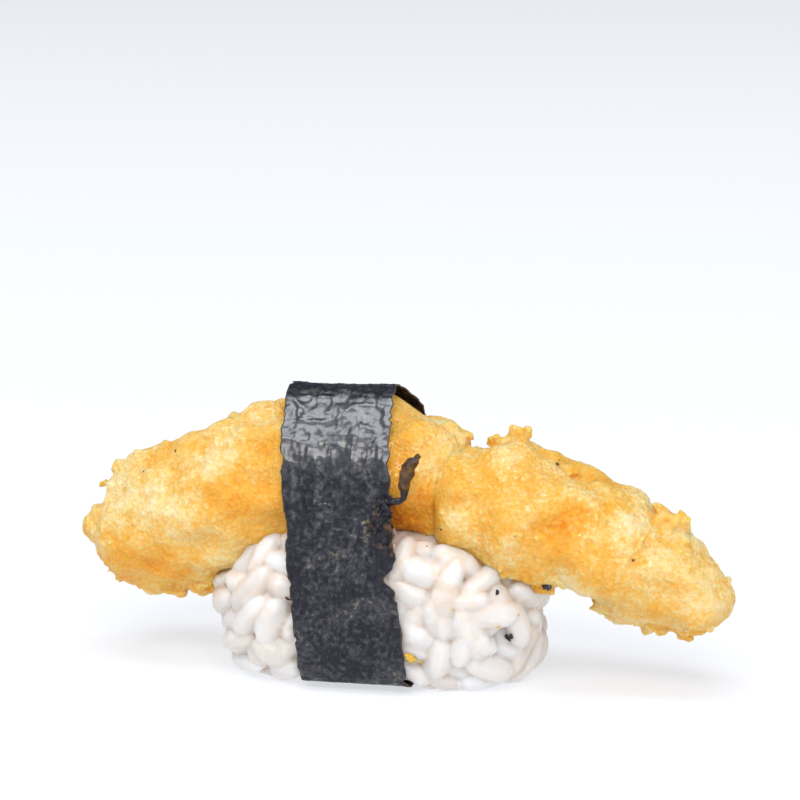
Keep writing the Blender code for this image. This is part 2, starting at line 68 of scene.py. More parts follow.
RIGHT_CHIPS = (
    (17.2, -1.0, 35.6, 2.0, 1.0, 1.0, -24), (14.2, -0.8, 35.3, 1.4, 1.2, 0.7, -20),
    (23.2, -0.6, 32.6, 3.0, 1.8, 0.9, 20), (40.2, -1.2, 25.4, 2.6, 1.8, 0.9, 30),
    (21.6, -6.4, 15.6, 2.4, 1.6, 1.0, 12), (31.0, -2.6, 12.2, 2.6, 2.4, 1.4, 22),
    (37.0, -2.4, 10.4, 1.8, 1.6, 1.4, 0), (42.4, -2.0, 9.6, 2.6, 2.4, 1.2, 8),
    (16.3, -1.2, 36.6, 1.5, 0.5, 1.3, -10), (18.3, -1.1, 36.4, 0.8, 0.5, 1.7, 14),
    (13.4, -1.2, 35.9, 1.2, 0.5, 0.7, -24), (22.0, -1.0, 34.0, 1.6, 0.5, 0.7, 10),
    (25.4, -1.0, 32.6, 1.1, 0.5, 0.6, 26), (38.6, -1.2, 27.0, 1.2, 0.5, 0.7, 30),
    (41.4, -1.4, 25.8, 1.2, 0.5, 0.8, 40), (44.2, -1.4, 23.2, 0.9, 0.5, 0.6, 48),
    (20.6, -5.0, 14.8, 1.2, 0.5, 0.7, 10), (29.4, -3.2, 11.6, 1.3, 0.5, 0.8, 14),
    (32.8, -3.0, 10.6, 1.2, 0.5, 0.8, 18), (36.6, -2.6, 9.2, 0.8, 0.5, 0.9, 0),
    (38.9, -2.6, 8.9, 0.7, 0.5, 0.8, -8), (42.4, -2.4, 8.2, 1.2, 0.5, 0.6, 8),
)
CRUMBS_PER_LOBE = 110
CRUMB_HALF = (0.25, 0.6)
CHIP_ROUGH = 1.3
LOBE_RINGS, LOBE_SIDES = 150, 110
BATTER_VOXEL = 0.265
# Middle of the strap over the shrimp, and how far from it the batter is pressed.
STRAP_TOP_X = -9.2
STRAP_REACH = 12.0


def smooth_through(stations, count):
    """Catmull-Rom curve through the stations, read at count even steps of the station number."""
    padded = np.vstack([2 * stations[0] - stations[1], stations, 2 * stations[-1] - stations[-2]])
    t = np.linspace(0, len(stations) - 1, count)
    i = np.minimum(t.astype(int), len(stations) - 2)
    f = (t - i)[:, None]
    a, b, c, d = padded[i], padded[i + 1], padded[i + 2], padded[i + 3]
    return 0.5 * (2 * b + (c - a) * f + (2 * a - 5 * b + 4 * c - d) * f**2 + (3 * b - a - 3 * c + d) * f**3)


def crags(points, seed, layers=((0.42, 13.0), (0.36, 6.5)), waves=14):
    """Relief at each point: for each layer, a sum of sine waves in seeded random directions."""
    rng = np.random.default_rng(seed)
    total = np.zeros(len(points))
    for depth, length in layers:
        ways = rng.normal(size=(waves, 3))
        ways *= (rng.uniform(0.7, 1.4, waves) / np.linalg.norm(ways, axis=1))[:, None]
        phase = rng.uniform(0, 2 * math.pi, waves)
        swell = np.sin(points @ ways.T * 2 * math.pi / length + phase).sum(1)
        total += depth * swell / math.sqrt(waves / 2)
    return total


def corner_values(cell, seed):
    """A repeatable random number from -1 to 1 for each whole-number corner of a cubic lattice."""
    mixed = cell[..., 0] * 73856093 ^ cell[..., 1] * 19349663 ^ cell[..., 2] * 83492791 ^ seed * 2654435761
    mixed = (mixed ^ (mixed >> 13)) * 1274126177
    return ((mixed ^ (mixed >> 16)) & 0xFFFF) / 32767.5 - 1


def lumps(points, size, seed):
    """Soft random lumps: the values at the eight corners of the lattice cell round a point, blended by a
    curve that starts and ends flat."""
    q = points / size
    low = np.floor(q).astype(np.int64)
    f = q - low
    f = f**3 * (f * (f * 6 - 15) + 10)
    total = np.zeros(len(points))
    for corner in np.ndindex(2, 2, 2):
        share = np.prod(np.where(np.array(corner), f, 1 - f), axis=1)
        total += share * corner_values(low + corner, seed)
    return total


def ridges(points, size, seed, sharp):
    """Narrow ridges where the lumps pass through zero: 1 on the ridge, falling off faster the sharper."""
    return (1 - np.minimum(abs(lumps(points, size, seed)), 1)) ** sharp


def blisters(points, size, seed):
    """Round blisters: one less the square of the distance to the nearest random seed, counted in cells."""
    q = points / size
    low = np.floor(q).astype(np.int64)
    best = np.full(len(points), 9.0)
    for step in np.ndindex(3, 3, 3):
        cell = low + np.array(step) - 1
        seeds = np.stack([corner_values(cell, seed + k) for k in range(3)], 1) * 0.45 + 0.5 + cell
        best = np.minimum(best, ((q - seeds) ** 2).sum(1))
    return 1 - np.minimum(best, 1)


def unit(vectors):
    """The vectors divided by their lengths."""
    return vectors / np.linalg.norm(vectors, axis=-1, keepdims=True)


def smooth_step(x, low, high):
    """0 below low, 1 above high, and a curve between them that starts and ends flat."""
    t = np.clip((x - low) / (high - low), 0, 1)
    return t * t * (3 - 2 * t)


def distance_along(line):
    """Distance from the start of a row of points to each of them."""
    return np.concatenate([[0], np.cumsum(np.linalg.norm(np.diff(line, axis=0), axis=1))])


def read_line(line, run, at):
    """The rows of a line at distances at, where run is the distance of each of its own rows."""
    return np.stack([np.interp(at, run, column) for column in line.T], 1)


def once_round(sides):
    """Angles at even steps once round."""
    return 2 * np.pi * np.arange(sides) / sides


def tube_faces(rings, sides):
    """Faces of a closed skin of a pole, rings of sides points and a second pole: (quads, triangles)."""
    i, j = np.meshgrid(np.arange(rings - 1), np.arange(sides), indexing="ij")
    k = (j + 1) % sides
    low, high = 1 + i * sides, 1 + (i + 1) * sides
    quads = np.stack([low + j, low + k, high + k, high + j], -1)
    j, k = j[0], k[0]
    last = 1 + rings * sides
    first_cap = np.stack([0 * j, 1 + k, 1 + j], 1)
    last_cap = np.stack([0 * j + last, last - sides + j, last - sides + k], 1)
    return quads.reshape(-1, 4), np.vstack([first_cap, last_cap])


def grid_faces(rows, columns):
    """Four-sided faces between the points of a grid, row by row."""
    i, j = np.meshgrid(np.arange(rows - 1), np.arange(columns - 1), indexing="ij")
    a = (i * columns + j).ravel()
    return np.stack([a, a + 1, a + 1 + columns, a + columns], 1)


def many_of(faces, count, points_each):
    """The faces of one shape, repeated for count shapes that follow each other."""
    step = (np.arange(count) * points_each)[:, None, None]
    return (faces + step).reshape(-1, faces.shape[1])


def many_tubes(rings, sides, count):
    """Faces, as tube_faces makes them, of count such skins."""
    return [many_of(faces, count, rings * sides + 2) for faces in tube_faces(rings, sides)]


def new_piece(name, points, quads, triangles=np.zeros((0, 3), int), smooth=True):
    """A mesh object from points in millimetres and index arrays of its faces."""
    mesh = bpy.data.meshes.new(name)
    mesh.vertices.add(len(points))
    mesh.vertices.foreach_set("co", (np.asarray(points, float) * MM).ravel())
    loops = np.concatenate([np.ravel(quads), np.ravel(triangles)]).astype(np.int32)
    totals = np.concatenate([np.full(len(quads), 4), np.full(len(triangles), 3)]).astype(np.int32)
    mesh.loops.add(len(loops))
    mesh.loops.foreach_set("vertex_index", loops)
    mesh.polygons.add(len(totals))
    mesh.polygons.foreach_set("loop_start", np.concatenate([[0], np.cumsum(totals)[:-1]]).astype(np.int32))
    mesh.polygons.foreach_set("loop_total", totals)
    mesh.polygons.foreach_set("use_smooth", np.full(len(totals), smooth))
    mesh.update(calc_edges=True)
    mesh.validate()
    piece = bpy.data.objects.new(name, mesh)
    bpy.context.scene.collection.objects.link(piece)
    return piece


def at_points(mesh, what):
    """The normal at each of the mesh's points, or co, its place in metres."""
    out = np.empty(len(mesh.vertices) * 3, np.float32)
    mesh.vertices.foreach_get(what, out)
    return out.reshape(-1, 3).astype(float)


def points_of(mesh):
    """The mesh's points, in millimetres."""
    return at_points(mesh, "co") / MM


def lay_field(piece, name, values):
    """Keeps a number for each point of the piece, or one for all, for its material to read."""
    layer = piece.data.attributes.new(name, "FLOAT", "POINT")
    layer.data.foreach_set("value", (np.zeros(len(layer.data)) + values).astype(np.float32))


def outer_shell(mesh):
    """The mesh's largest connected body, without the small shells sealed inside it."""
    ends = np.empty(len(mesh.edges) * 2, np.int32)
    mesh.edges.foreach_get("vertices", ends)
    ends = ends.reshape(-1, 2)
    group = np.arange(len(mesh.vertices))
    while True:
        low = np.minimum(group[ends[:, 0]], group[ends[:, 1]])
        new = group.copy()
        np.minimum.at(new, ends[:, 0], low)
        np.minimum.at(new, ends[:, 1], low)
        new = new[new][new[new]]
        if (new == group).all():
            break
        group = new
    kept = group == np.bincount(group).argmax()
    faces = np.empty(len(mesh.loops), np.int32)
    mesh.loops.foreach_get("vertex_index", faces)
    faces = faces.reshape(-1, 4)
    return points_of(mesh)[kept], (np.cumsum(kept) - 1)[faces[kept[faces[:, 0]]]]


def knit_together(name, parts, voxel, soften=0):
    """One closed skin round all the parts (points, quads, triangles), which overlap: they are filled with
    voxels, skinned and softened."""
    starts = np.cumsum([0] + [len(p[0]) for p in parts[:-1]])
    quads, triangles = (np.vstack([p[k] + s for p, s in zip(parts, starts)]) for k in (1, 2))
    rough = new_piece(name + "_rough", np.vstack([p[0] for p in parts]), quads, triangles)
    knit = rough.modifiers.new("knit", "REMESH")
    knit.mode = "VOXEL"
    knit.voxel_size = voxel * MM
    if soften:
        soft = rough.modifiers.new("soft", "SMOOTH")
        soft.iterations = soften
    bpy.context.view_layer.update()
    knitted = bpy.data.meshes.new_from_object(rough.evaluated_get(bpy.context.evaluated_depsgraph_get()))
    bpy.data.objects.remove(rough)
    piece = new_piece(name, *outer_shell(knitted))
    bpy.data.meshes.remove(knitted)
    return piece


def push_out(piece, relief):
    """Moves each point of the piece along its normal by relief."""
    moved = points_of(piece.data) + at_points(piece.data, "normal") * relief[:, None]
    piece.data.vertices.foreach_set("co", (moved * MM).ravel())
    piece.data.update()


def lobe_skin(stations, rings, sides):
    """Points round a lobe: at each distance along its middle line, an oval whose half sizes come from the
    stations, rounded off at both ends, and pushed out by the crags."""
    line = smooth_through(stations, 240)
    run = distance_along(line[:, :3])
    total = run[-1]
    # Rings are crowded towards the ends, where the skin turns.
    even = (np.arange(rings) + 1) / (rings + 1)
    at = (0.45 * (0.5 - 0.5 * np.cos(np.pi * even)) + 0.55 * even) * total
    middle, half = np.split(read_line(line, run, at), [3], axis=1)
    near_end = np.minimum(np.minimum(at, total - at) / LOBE_END_ROUND, 1)
    half *= np.sqrt(1 - (1 - near_end) ** 2)[:, None]
    way = unit(np.gradient(middle, axis=0))
    side = unit(np.stack([-way[:, 1], way[:, 0], np.zeros(len(way))], 1))
    up = np.cross(way, side)
    turn = once_round(sides)
    cos, sin = np.cos(turn)[:, None], np.sin(turn)[:, None]
    out = cos * side[:, None] * half[:, :1, None] + sin * up[:, None] * half[:, 1:, None]
    size = np.linalg.norm(out, axis=2, keepdims=True)
    ring = middle[:, None] + out
    relief = crags(ring.reshape(-1, 3), CRAG_SEED).reshape(size.shape[:2])
    ring = ring + out / size * (relief * np.minimum(size[..., 0] / 6, 1))[..., None]
    return np.vstack([line[0, :3], ring.reshape(-1, 3), line[-1, :3]])


def ball_skin(rings, sides):
    """Points of a ball of radius 1, its poles on X: polar angle along it, angle round X across it."""
    polar = np.pi * (np.arange(rings) + 1) / (rings + 1)
    p, a = np.meshgrid(polar, once_round(sides), indexing="ij")
    ring = np.stack([-np.cos(p), np.sin(p) * np.cos(a), np.sin(p) * np.sin(a)], -1).reshape(-1, 3)
    return np.vstack([[-1.0, 0, 0], ring, [1.0, 0, 0]])


def chips(rows, rings=10, sides=14):
    """Chips of batter: each is a ball squeezed to its half sizes, turned about Y, and roughened by lumps."""
    rows = np.array(rows)
    middle, half, turn = rows[:, None, :3], rows[:, None, 3:6], np.radians(rows[:, 6])
    cos, sin, zero = np.cos(turn), np.sin(turn), np.zeros(len(rows))
    axes = np.stack([cos, zero, -sin, zero, zero + 1, zero, sin, zero, cos], 1).reshape(-1, 3, 3)
    solid = middle + np.einsum("gpk,gkc->gpc", ball_skin(rings, sides) * half, axes)
    flat = solid.reshape(-1, 3)
    rough = (0.45 * lumps(flat, 1.5, 3) + 0.4 * lumps(flat, 0.7, 4)).reshape(len(rows), -1, 1)
    away = solid - middle
    solid += away * rough * np.minimum(CHIP_ROUGH / np.linalg.norm(away, axis=2, keepdims=True), 1)
    return solid.reshape(-1, 3), *many_tubes(rings, sides, len(rows))


def crumb_rows(stations, seed):
    """Rows for crumbs strewn on a lobe, most of them along its upper and lower edges."""
    rng = np.random.default_rng(seed)
    rings, sides, count = 90, 40, CRUMBS_PER_LOBE
    skin = lobe_skin(stations, rings, sides)[1:-1].reshape(rings, sides, 3)
    ring = rng.integers(3, rings - 3, count)
    quarter = rng.choice([0.25, 0.75], count) * sides + rng.normal(0, 3.6, count)
    place = skin[ring, quarter.astype(int) % sides]
    half = rng.uniform(*CRUMB_HALF, (count, 1)) * rng.uniform(0.6, 1.5, (count, 3))
    clear = (abs(place[:, 0] - STRAP_TOP_X) > STRAP_REACH - 0.5) & (place[:, 2] > 8)
    return np.column_stack([place[clear], half[clear], rng.uniform(-60, 60, clear.sum())])


def batter_relief(skin, normal):
    """Low relief of the batter: lumps, domed bubbles, and thin crackled ridges where it is crisp, in patches
    and along its upper and lower edges. It is low under the strap."""
    crisp = np.clip(lumps(skin, 7.0, 41) * 1.4 + 0.3 + 0.5 * abs(normal[:, 2]), 0, 1)
    relief = 0.20 * lumps(skin, 4.4, 42) + 0.09 * lumps(skin, 2.0, 43) * (0.4 + crisp)
    relief += 0.07 * lumps(skin, 0.9, 44) * (0.3 + crisp)
    relief += 0.20 * blisters(skin, 1.7, 45) ** 1.5 * crisp
    relief += 0.10 * blisters(skin, 0.95, 46) ** 2 * (0.3 + crisp)
    relief += 0.16 * ridges(skin, 2.6, 47, 7.0) * crisp - 0.12
    relief += 0.07 * lumps(skin, 0.5, 48)
    under_strap = np.clip((STRAP_REACH - abs(skin[:, 0] - STRAP_TOP_X - 0.7)) / 3, 0, 1)
    return relief * (1 - 0.8 * under_strap) - 0.15 * under_strap


# Browning of the batter, and where it is browner or paler: middle (x, y, z), reach and how much. Some
# spots are painted light and shade: the browner one beside the strap's front right edge is partly painted
# shade under the strap and the right lobe, and the paler ones low on the right lobe are painted light
# thrown up by the table.
BROWN_LEVEL = 0.375
BROWN_AND_PAINTED_LIGHT_SPOTS = (
    (-24.5, -9.0, 28.5, 3.6, 0.30), (-37.5, -7.0, 14.5, 5.0, 0.35),
    (-30.0, -7.0, 14.0, 4.5, 0.30), (-45.0, -4.0, 20.0, 3.2, 0.30),
    (-35.5, -1.5, 32.0, 1.8, 0.60), (1.5, -8.0, 24.5, 5.5, 1.05),
    (5.6, -10.0, 29.0, 2.2, 0.55), (0.6, -9.0, 33.0, 2.4, 0.35),
    (26.5, -11.0, 26.5, 3.0, 0.75), (31.5, -10.0, 21.5, 3.0, 0.25),
    (22.0, -9.0, 16.5, 2.6, 0.35), (10.0, -9.0, 30.5, 2.6, 0.25),
    (-38.0, -9.0, 24.5, 4.5, -0.25), (-28.0, -9.0, 33.0, 4.0, -0.15),
    (17.5, -12.0, 27.0, 4.5, -0.15), (8.0, -4.0, 35.0, 3.0, -0.20),
    (33.0, -9.0, 25.0, 3.0, -0.25), (26.0, -10.0, 17.0, 4.0, -0.30),
    (41.0, -9.0, 14.0, 4.5, -0.25), (29.0, -8.0, 11.5, 4.5, -0.45),
)


def browning_and_painted_light(skin, normal):
    """Browning at each point, from 0 to 1: uneven patches, painted shade that makes it browner
    underneath, and the spots, some of which are painted shade and some painted light.
    """
    brown_and_painted_light = BROWN_LEVEL + 0.06 * lumps(skin, 9.0, 51) + 0.06 * lumps(skin, 4.2, 52)
    brown_and_painted_light = brown_and_painted_light + 0.04 * lumps(skin, 1.6, 53)
    # Painted shade: browner where the skin faces down, away from the light.
    brown_and_painted_light += 0.06 * np.clip(-normal[:, 2], -0.5, 0.4)
    for x, y, z, reach, amount in BROWN_AND_PAINTED_LIGHT_SPOTS:
        brown_and_painted_light += 0.45 * amount * np.exp(-((skin - (x, y, z)) ** 2).sum(1) / reach**2)
    return brown_and_painted_light


batter_pieces = []
for side, stations, rows, seed in (
    ("left", LEFT_LOBE, LEFT_CHIPS, 23),
    ("right", RIGHT_LOBE, RIGHT_CHIPS, 24),
):
    lobe = (lobe_skin(stations, LOBE_RINGS, LOBE_SIDES), *tube_faces(LOBE_RINGS, LOBE_SIDES))
    crumbs = chips(crumb_rows(stations, seed), 7, 10)
    batter = knit_together(f"fried_batter_{side}", [lobe, chips(rows), crumbs], BATTER_VOXEL)
    skin, normal = points_of(batter.data), at_points(batter.data, "normal")
    relief = batter_relief(skin, normal)
    push_out(batter, relief)
    lay_field(batter, "browned_and_painted_light", browning_and_painted_light(skin, normal))
    lay_field(batter, "raised", relief)
    batter_pieces.append(batter)


def put(socket, value):
    """Gives a node's input its value: an output by a link, a constant on the socket itself."""
    if isinstance(value, bpy.types.NodeSocket):
        socket.id_data.links.new(value, socket)
    else:
        socket.default_value = (*value, 1) if socket.type == "RGBA" and len(value) == 3 else value


def dress(node, inputs):
    """Gives a node its inputs, by name or number."""
    for name, value in inputs.items():
        put(node.inputs[name], value)


def new_node(tree, kind, inputs, **settings):
    """A node of a kind, with its settings and its inputs."""
    node = tree.nodes.new("ShaderNode" + kind)
    for name, value in settings.items():
        setattr(node, name, value)
    dress(node, inputs)
    return node


def uneven_skin_group():
    """Node group: a broad Patch and a fine Grain over the surface, both noises from 0 to 1."""
    group = bpy.data.node_groups.new("uneven_skin", "ShaderNodeTree")
    group.interface.new_socket("Where", in_out="INPUT", socket_type="NodeSocketVector")
    for label in ("Patch", "Grain"):
        group.interface.new_socket(f"{label} Scale", in_out="INPUT", socket_type="NodeSocketFloat")
        group.interface.new_socket(label, in_out="OUTPUT", socket_type="NodeSocketFloat")
    given, made = group.nodes.new("NodeGroupInput").outputs, group.nodes.new("NodeGroupOutput").inputs
    for label, detail, roughness in (("Patch", 3.0, 0.55), ("Grain", 4.0, 0.65)):
        inputs = {"Vector": given["Where"], "Scale": given[f"{label} Scale"]}
        noise = new_node(group, "TexNoise", {**inputs, "Detail": detail, "Roughness": roughness})
        put(made[label], noise.outputs["Fac"])
    return group


uneven_skin = uneven_skin_group()


def place_on(tree):
    """Object coordinates."""
    return new_node(tree, "TexCoord", {}).outputs["Object"]


def finish(name, patch_scale, grain_scale):
    """A new material, its node tree, its Principled shader, and the outputs of its own uneven skin."""
    material = bpy.data.materials.new(name)
    material.use_nodes = True
    tree = material.node_tree
    inputs = {"Where": place_on(tree), "Patch Scale": patch_scale, "Grain Scale": grain_scale}
    skin = new_node(tree, "Group", inputs, node_tree=uneven_skin)
    return material, tree, tree.nodes["Principled BSDF"], *skin.outputs


def field(tree, name):
    """The number that lay_field kept under name."""
    return new_node(tree, "Attribute", {}, attribute_name=name).outputs["Fac"]


def ramp_of(source, *stops):
    """A ramp through stops of (place, colour or grey), fed by source."""
    node = new_node(source.id_data, "ValToRGB", {0: source})
    band = node.color_ramp
    while len(band.elements) < len(stops):
        band.elements.new(0.5)
    for element, (place, colour) in zip(band.elements, stops):
        element.position = place
        element.color = (*colour, 1) if isinstance(colour, tuple) else (colour, colour, colour, 1)
    return node.outputs[0]


def add_up(base, *terms):
    """base plus each term's value times its weight, from terms of (value, weight)."""
    for value, weight in terms:
        node = new_node(value.id_data, "Math", {0: value, 1: weight, 2: base}, operation="MULTIPLY_ADD")
        base = node.outputs[0]
    return base


def blend_colours(share, first, second):
    """first where share is 0 and second where it is 1. Each is an output or a plain colour."""
    return new_node(share.id_data, "Mix", {0: share, 6: first, 7: second}, data_type="RGBA").outputs[2]


def bubbles_of(tree, scale):
    """Distance to the nearest of many small bubbles, over Object coordinates."""
    inputs = {"Vector": place_on(tree), "Scale": scale, "Smoothness": 0.3}
    return new_node(tree, "TexVoronoi", inputs, feature="SMOOTH_F1").outputs["Distance"]


def bump_of(height, distance, strength=1.0):
    """The normal of a relief: height, where 1 stands distance metres high."""
    inputs = {"Height": height, "Distance": distance, "Strength": strength}
    return new_node(height.id_data, "Bump", inputs).outputs["Normal"]


batter_look, tree, shader, patch, grain = finish("fried_batter", 300.0, 2200.0)
beads = bubbles_of(tree, 1400.0)
# The browning field holds painted shade underneath and painted light and shade in some spots.
browned_and_painted_light, raised = field(tree, "browned_and_painted_light"), field(tree, "raised")
tone = add_up(-0.55, (browned_and_painted_light, 1.0), (raised, -0.6), (patch, 0.45), (grain, 0.45), (beads, 0.25))
colour = ramp_of(tone,
    (0.02, (0.99, 0.80, 0.47)),
    (0.24, (0.985, 0.69, 0.28)),
    (0.44, (0.965, 0.525, 0.098)),
    (0.62, (0.94, 0.43, 0.045)),
    (0.82, (0.84, 0.30, 0.016)),
    (1.00, (0.60, 0.16, 0.008)),
)
height = add_up(0.0, (beads, -0.6), (grain, 1.0))
dress(shader, {
    "Base Color": colour,
    "Roughness": ramp_of(grain, (0.35, 0.40), (0.65, 0.60)),
    "Coat Weight": ramp_of(grain, (0.52, 0.0), (0.62, 0.9)),
    "Coat Roughness": 0.08,
    "Coat IOR": 1.65,
    "Specular IOR Level": 0.15,
    "Subsurface Weight": 0.5,
    "Subsurface Radius": (1.0, 0.50, 0.14),
    "Subsurface Scale": 0.0024,
    "Normal": bump_of(height, 0.0007),
})
for piece in batter_pieces:
    piece.data.materials.append(batter_look)
    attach(piece, "root")
    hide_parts("shrimp_tempura")

# Rice block ----------
# Cooked short-grain rice, seasoned and pressed by hand into a rounded block under the shrimp. The grains
# are plump, moist and a little see-through, and they stick to each other where they touch, so all those
# that show and the core behind them are one skin.
BLOCK_CENTRE = np.array([-3.3, 0.0, 10.9])
BLOCK_HALF = np.array([24.8, 14.0, 13.6])
BLOCK_POWER = 3.3
GRAIN_HALF_LENGTH = 3.75
GRAIN_HALF_WIDTH = 1.8
GRAIN_COUNT = 400
GRAIN_SEED = 11
SETTLE_STEPS = 90
SHOWN_DEPTH = 5.2
LOOSE_GRAINS = 34
CORE_INSET = 1.5
GRAIN_RINGS, GRAIN_SIDES = 8, 12
CORE_RINGS, CORE_SIDES = 24, 36
RICE_VOXEL = 0.28
# Share of an overlap that one step mends: with another grain, with the block's skin and with the shrimp.
SHOVE, PRESS, WEIGH = 0.42, 0.8, 0.6


def block_measure(points, inset=0.0):
    """How far out points lie in the block: 1 is its skin, moved in by inset."""
    scaled = np.abs(points - BLOCK_CENTRE) / (BLOCK_HALF - inset)
    return (scaled**BLOCK_POWER).sum(-1) ** (1 / BLOCK_POWER)


def block_outward(points):
    """The way out of the block at points: the slope of its measure."""
    away = (points - BLOCK_CENTRE) / BLOCK_HALF
    return unit(np.sign(away) * abs(away) ** (BLOCK_POWER - 1) / BLOCK_HALF)


def settle_grains():
    """Middles and long axes of the grains. Each is a row of three beads. Beads that overlap push each other
    apart, the block's skin and base and the shrimp push them in, and the grains turn to suit."""
    rng = np.random.default_rng(GRAIN_SEED)
    bead, reach = GRAIN_HALF_WIDTH * 0.94, GRAIN_HALF_LENGTH - GRAIN_HALF_WIDTH
    middle = BLOCK_CENTRE + rng.uniform(-0.8, 0.8, (GRAIN_COUNT, 3)) * BLOCK_HALF
    axis = unit(rng.normal(size=(GRAIN_COUNT, 3)))
    steps = np.array([[-reach], [0.0], [reach]])
    blocks = np.vstack([smooth_through(s, 30) for s in (LEFT_LOBE, RIGHT_LOBE)])
    blocks_reach = blocks[:, 3:].mean(1) + bead
    number = np.repeat(np.arange(GRAIN_COUNT), 3)
    for step in range(SETTLE_STEPS):
        beads = (middle[:, None] + axis[:, None] * steps).reshape(-1, 3)
        if step % 8 == 0:
            span = (beads**2).sum(1)
            near = span[:, None] + span - 2 * beads @ beads.T < (2 * bead + 1.6) ** 2
            one, two = np.nonzero(np.triu(near & (number[:, None] != number), 1))
        push = np.zeros_like(beads)
        gap = beads[one] - beads[two]
        far = np.linalg.norm(gap, axis=1) + 1e-9
        shove = gap * (np.maximum(2 * bead - far, 0) / far * SHOVE)[:, None]
        for k in range(3):
            push[:, k] += np.bincount(one, shove[:, k], len(beads))
            push[:, k] -= np.bincount(two, shove[:, k], len(beads))
        out = block_measure(beads, bead)[:, None]
        push += (BLOCK_CENTRE + (beads - BLOCK_CENTRE) / np.maximum(out, 1) - beads) * PRESS
        push[:, 2] += np.maximum(bead - beads[:, 2], 0)
        gap = beads[:, None] - blocks[:, :3]
        far = np.linalg.norm(gap, axis=2)
        bite = np.maximum(blocks_reach * 0.96 - far, 0)
        worst = bite.argmax(1)
        row = np.arange(len(beads))
        push += gap[row, worst] / far[row, worst][:, None] * bite[row, worst][:, None] * WEIGH
        push = push.reshape(GRAIN_COUNT, 3, 3)
        middle += push.mean(1) * 1.2
        axis = unit(axis + (push * steps).sum(1) / (2 * reach**2) * 0.8)
    return middle, axis


def loose_grains():
    """Middles and long axes of the grains pressed on last, which lie over the others on the block's sides."""
    rng = np.random.default_rng(GRAIN_SEED + 2)
    place = unit(rng.normal(size=(LOOSE_GRAINS * 4, 3)) * [1.4, 1.0, 0.5])
    place = BLOCK_CENTRE + place * BLOCK_HALF
    place = BLOCK_CENTRE + (place - BLOCK_CENTRE) / block_measure(place)[:, None]
    clear = (abs(place[:, 2] - 9.5) < 7.0) & (abs(place[:, 0] - STRAP_FOOT_X + 1.4) > 10.5)
    clear &= abs(place[:, 0] - BLOCK_CENTRE[0]) < BLOCK_HALF[0] - 4
    place = place[clear][:LOOSE_GRAINS]
    return place - block_outward(place) * 0.9, unit(rng.normal(size=place.shape))


def lay_down(middle, axis, keep=0.15):
    """Grains pressed by the hand lie along the block's skin: of each axis's lean outwards only keep stays."""
    out = block_outward(middle)
    return unit(axis - (1 - keep) * (axis * out).sum(1)[:, None] * out)


def grain_skins(middle, axis, rings, sides):
    """All the grains at once. Along a grain, its half width follows a blunt-ended curve, fuller at one end,
    and its middle line bows to one side. Across it the outline is a slightly square oval."""
    rng = np.random.default_rng(GRAIN_SEED + 1)
    count = len(middle)
    roll = rng.uniform(0, 2 * math.pi, count)
    length = GRAIN_HALF_LENGTH * rng.normal(1.22, 0.15, count).clip(0.8, 1.5)
    width = GRAIN_HALF_WIDTH * rng.uniform(1.0, 1.26, count)
    bow = rng.uniform(-0.1, 0.5, count)
    fuller = rng.uniform(-0.16, 0.16, count)
    t = -np.cos(np.pi * (np.arange(rings) + 1) / (rings + 1))
    t = np.sign(t) * abs(t) ** 0.85
    full = (1 - abs(t) ** 2.7) ** 0.55
    around = once_round(sides)
    square = (abs(np.cos(around)) ** 2.5 + abs(np.sin(around)) ** 2.5) ** (-1 / 2.5)
    radius = width[:, None] * full * (1 + fuller[:, None] * t)
    x = length[:, None, None] * t[:, None] + 0 * around
    y = radius[:, :, None] * 1.08 * np.cos(around) * square
    y = y + (bow[:, None] * (1 - t**2 * 2))[:, :, None]
    z = radius[:, :, None] * 0.94 * np.sin(around) * square
    ring = np.stack([x, y, z], -1).reshape(count, -1, 3)
    tip = np.stack([length, -bow, 0 * length], 1)[:, None]
    local = np.concatenate([tip * [-1, 1, 1], ring, tip], 1)
    side = unit(np.cross(axis, np.where(abs(axis[:, 2:]) < 0.9, [[0.0, 0.0, 1.0]], [[0.0, 1.0, 0.0]])))
    up = np.cross(axis, side)
    cos, sin = np.cos(roll)[:, None], np.sin(roll)[:, None]
    axes = np.stack([axis, side * cos + up * sin, up * cos - side * sin], 1)
    solid = middle[:, None] + np.einsum("gpk,gkc->gpc", local, axes)
    rough = 0.26 * lumps(solid.reshape(-1, 3), 2.6, 61).reshape(count, -1, 1)
    return solid + unit(solid - middle[:, None]) * rough


# The strap's taut line, which presses the grains under it inwards: its cut width, the air left to what it
# wraps, the room for its thickness, the places of its middle at foot and top, how widely it rounds corners,
# and in how many directions its reach is measured.
STRAP_WIDTH = 16.2
STRAP_GAP = 0.35
STRAP_THICKNESS = 0.45
STRAP_FOOT_X = -4.6
STRAP_TOP_Z = 43.0
STRAP_SOFTEN = 1.9
STRAP_WAYS = 360


def block_rim(x, count=60):
    """Outline (y, z) of the rice block where the plane at x cuts it."""
    turn = once_round(count)
    room = (1 - abs((x - BLOCK_CENTRE[0]) / BLOCK_HALF[0]) ** BLOCK_POWER) ** (1 / BLOCK_POWER)
    cos, sin = np.cos(turn), np.sin(turn)
    bulge = (abs(cos) ** BLOCK_POWER + abs(sin) ** BLOCK_POWER) ** (-1 / BLOCK_POWER) * room
    y = BLOCK_HALF[1] * bulge * cos
    z = BLOCK_CENTRE[2] + BLOCK_HALF[2] * bulge * sin
    return np.stack([y, z], 1)


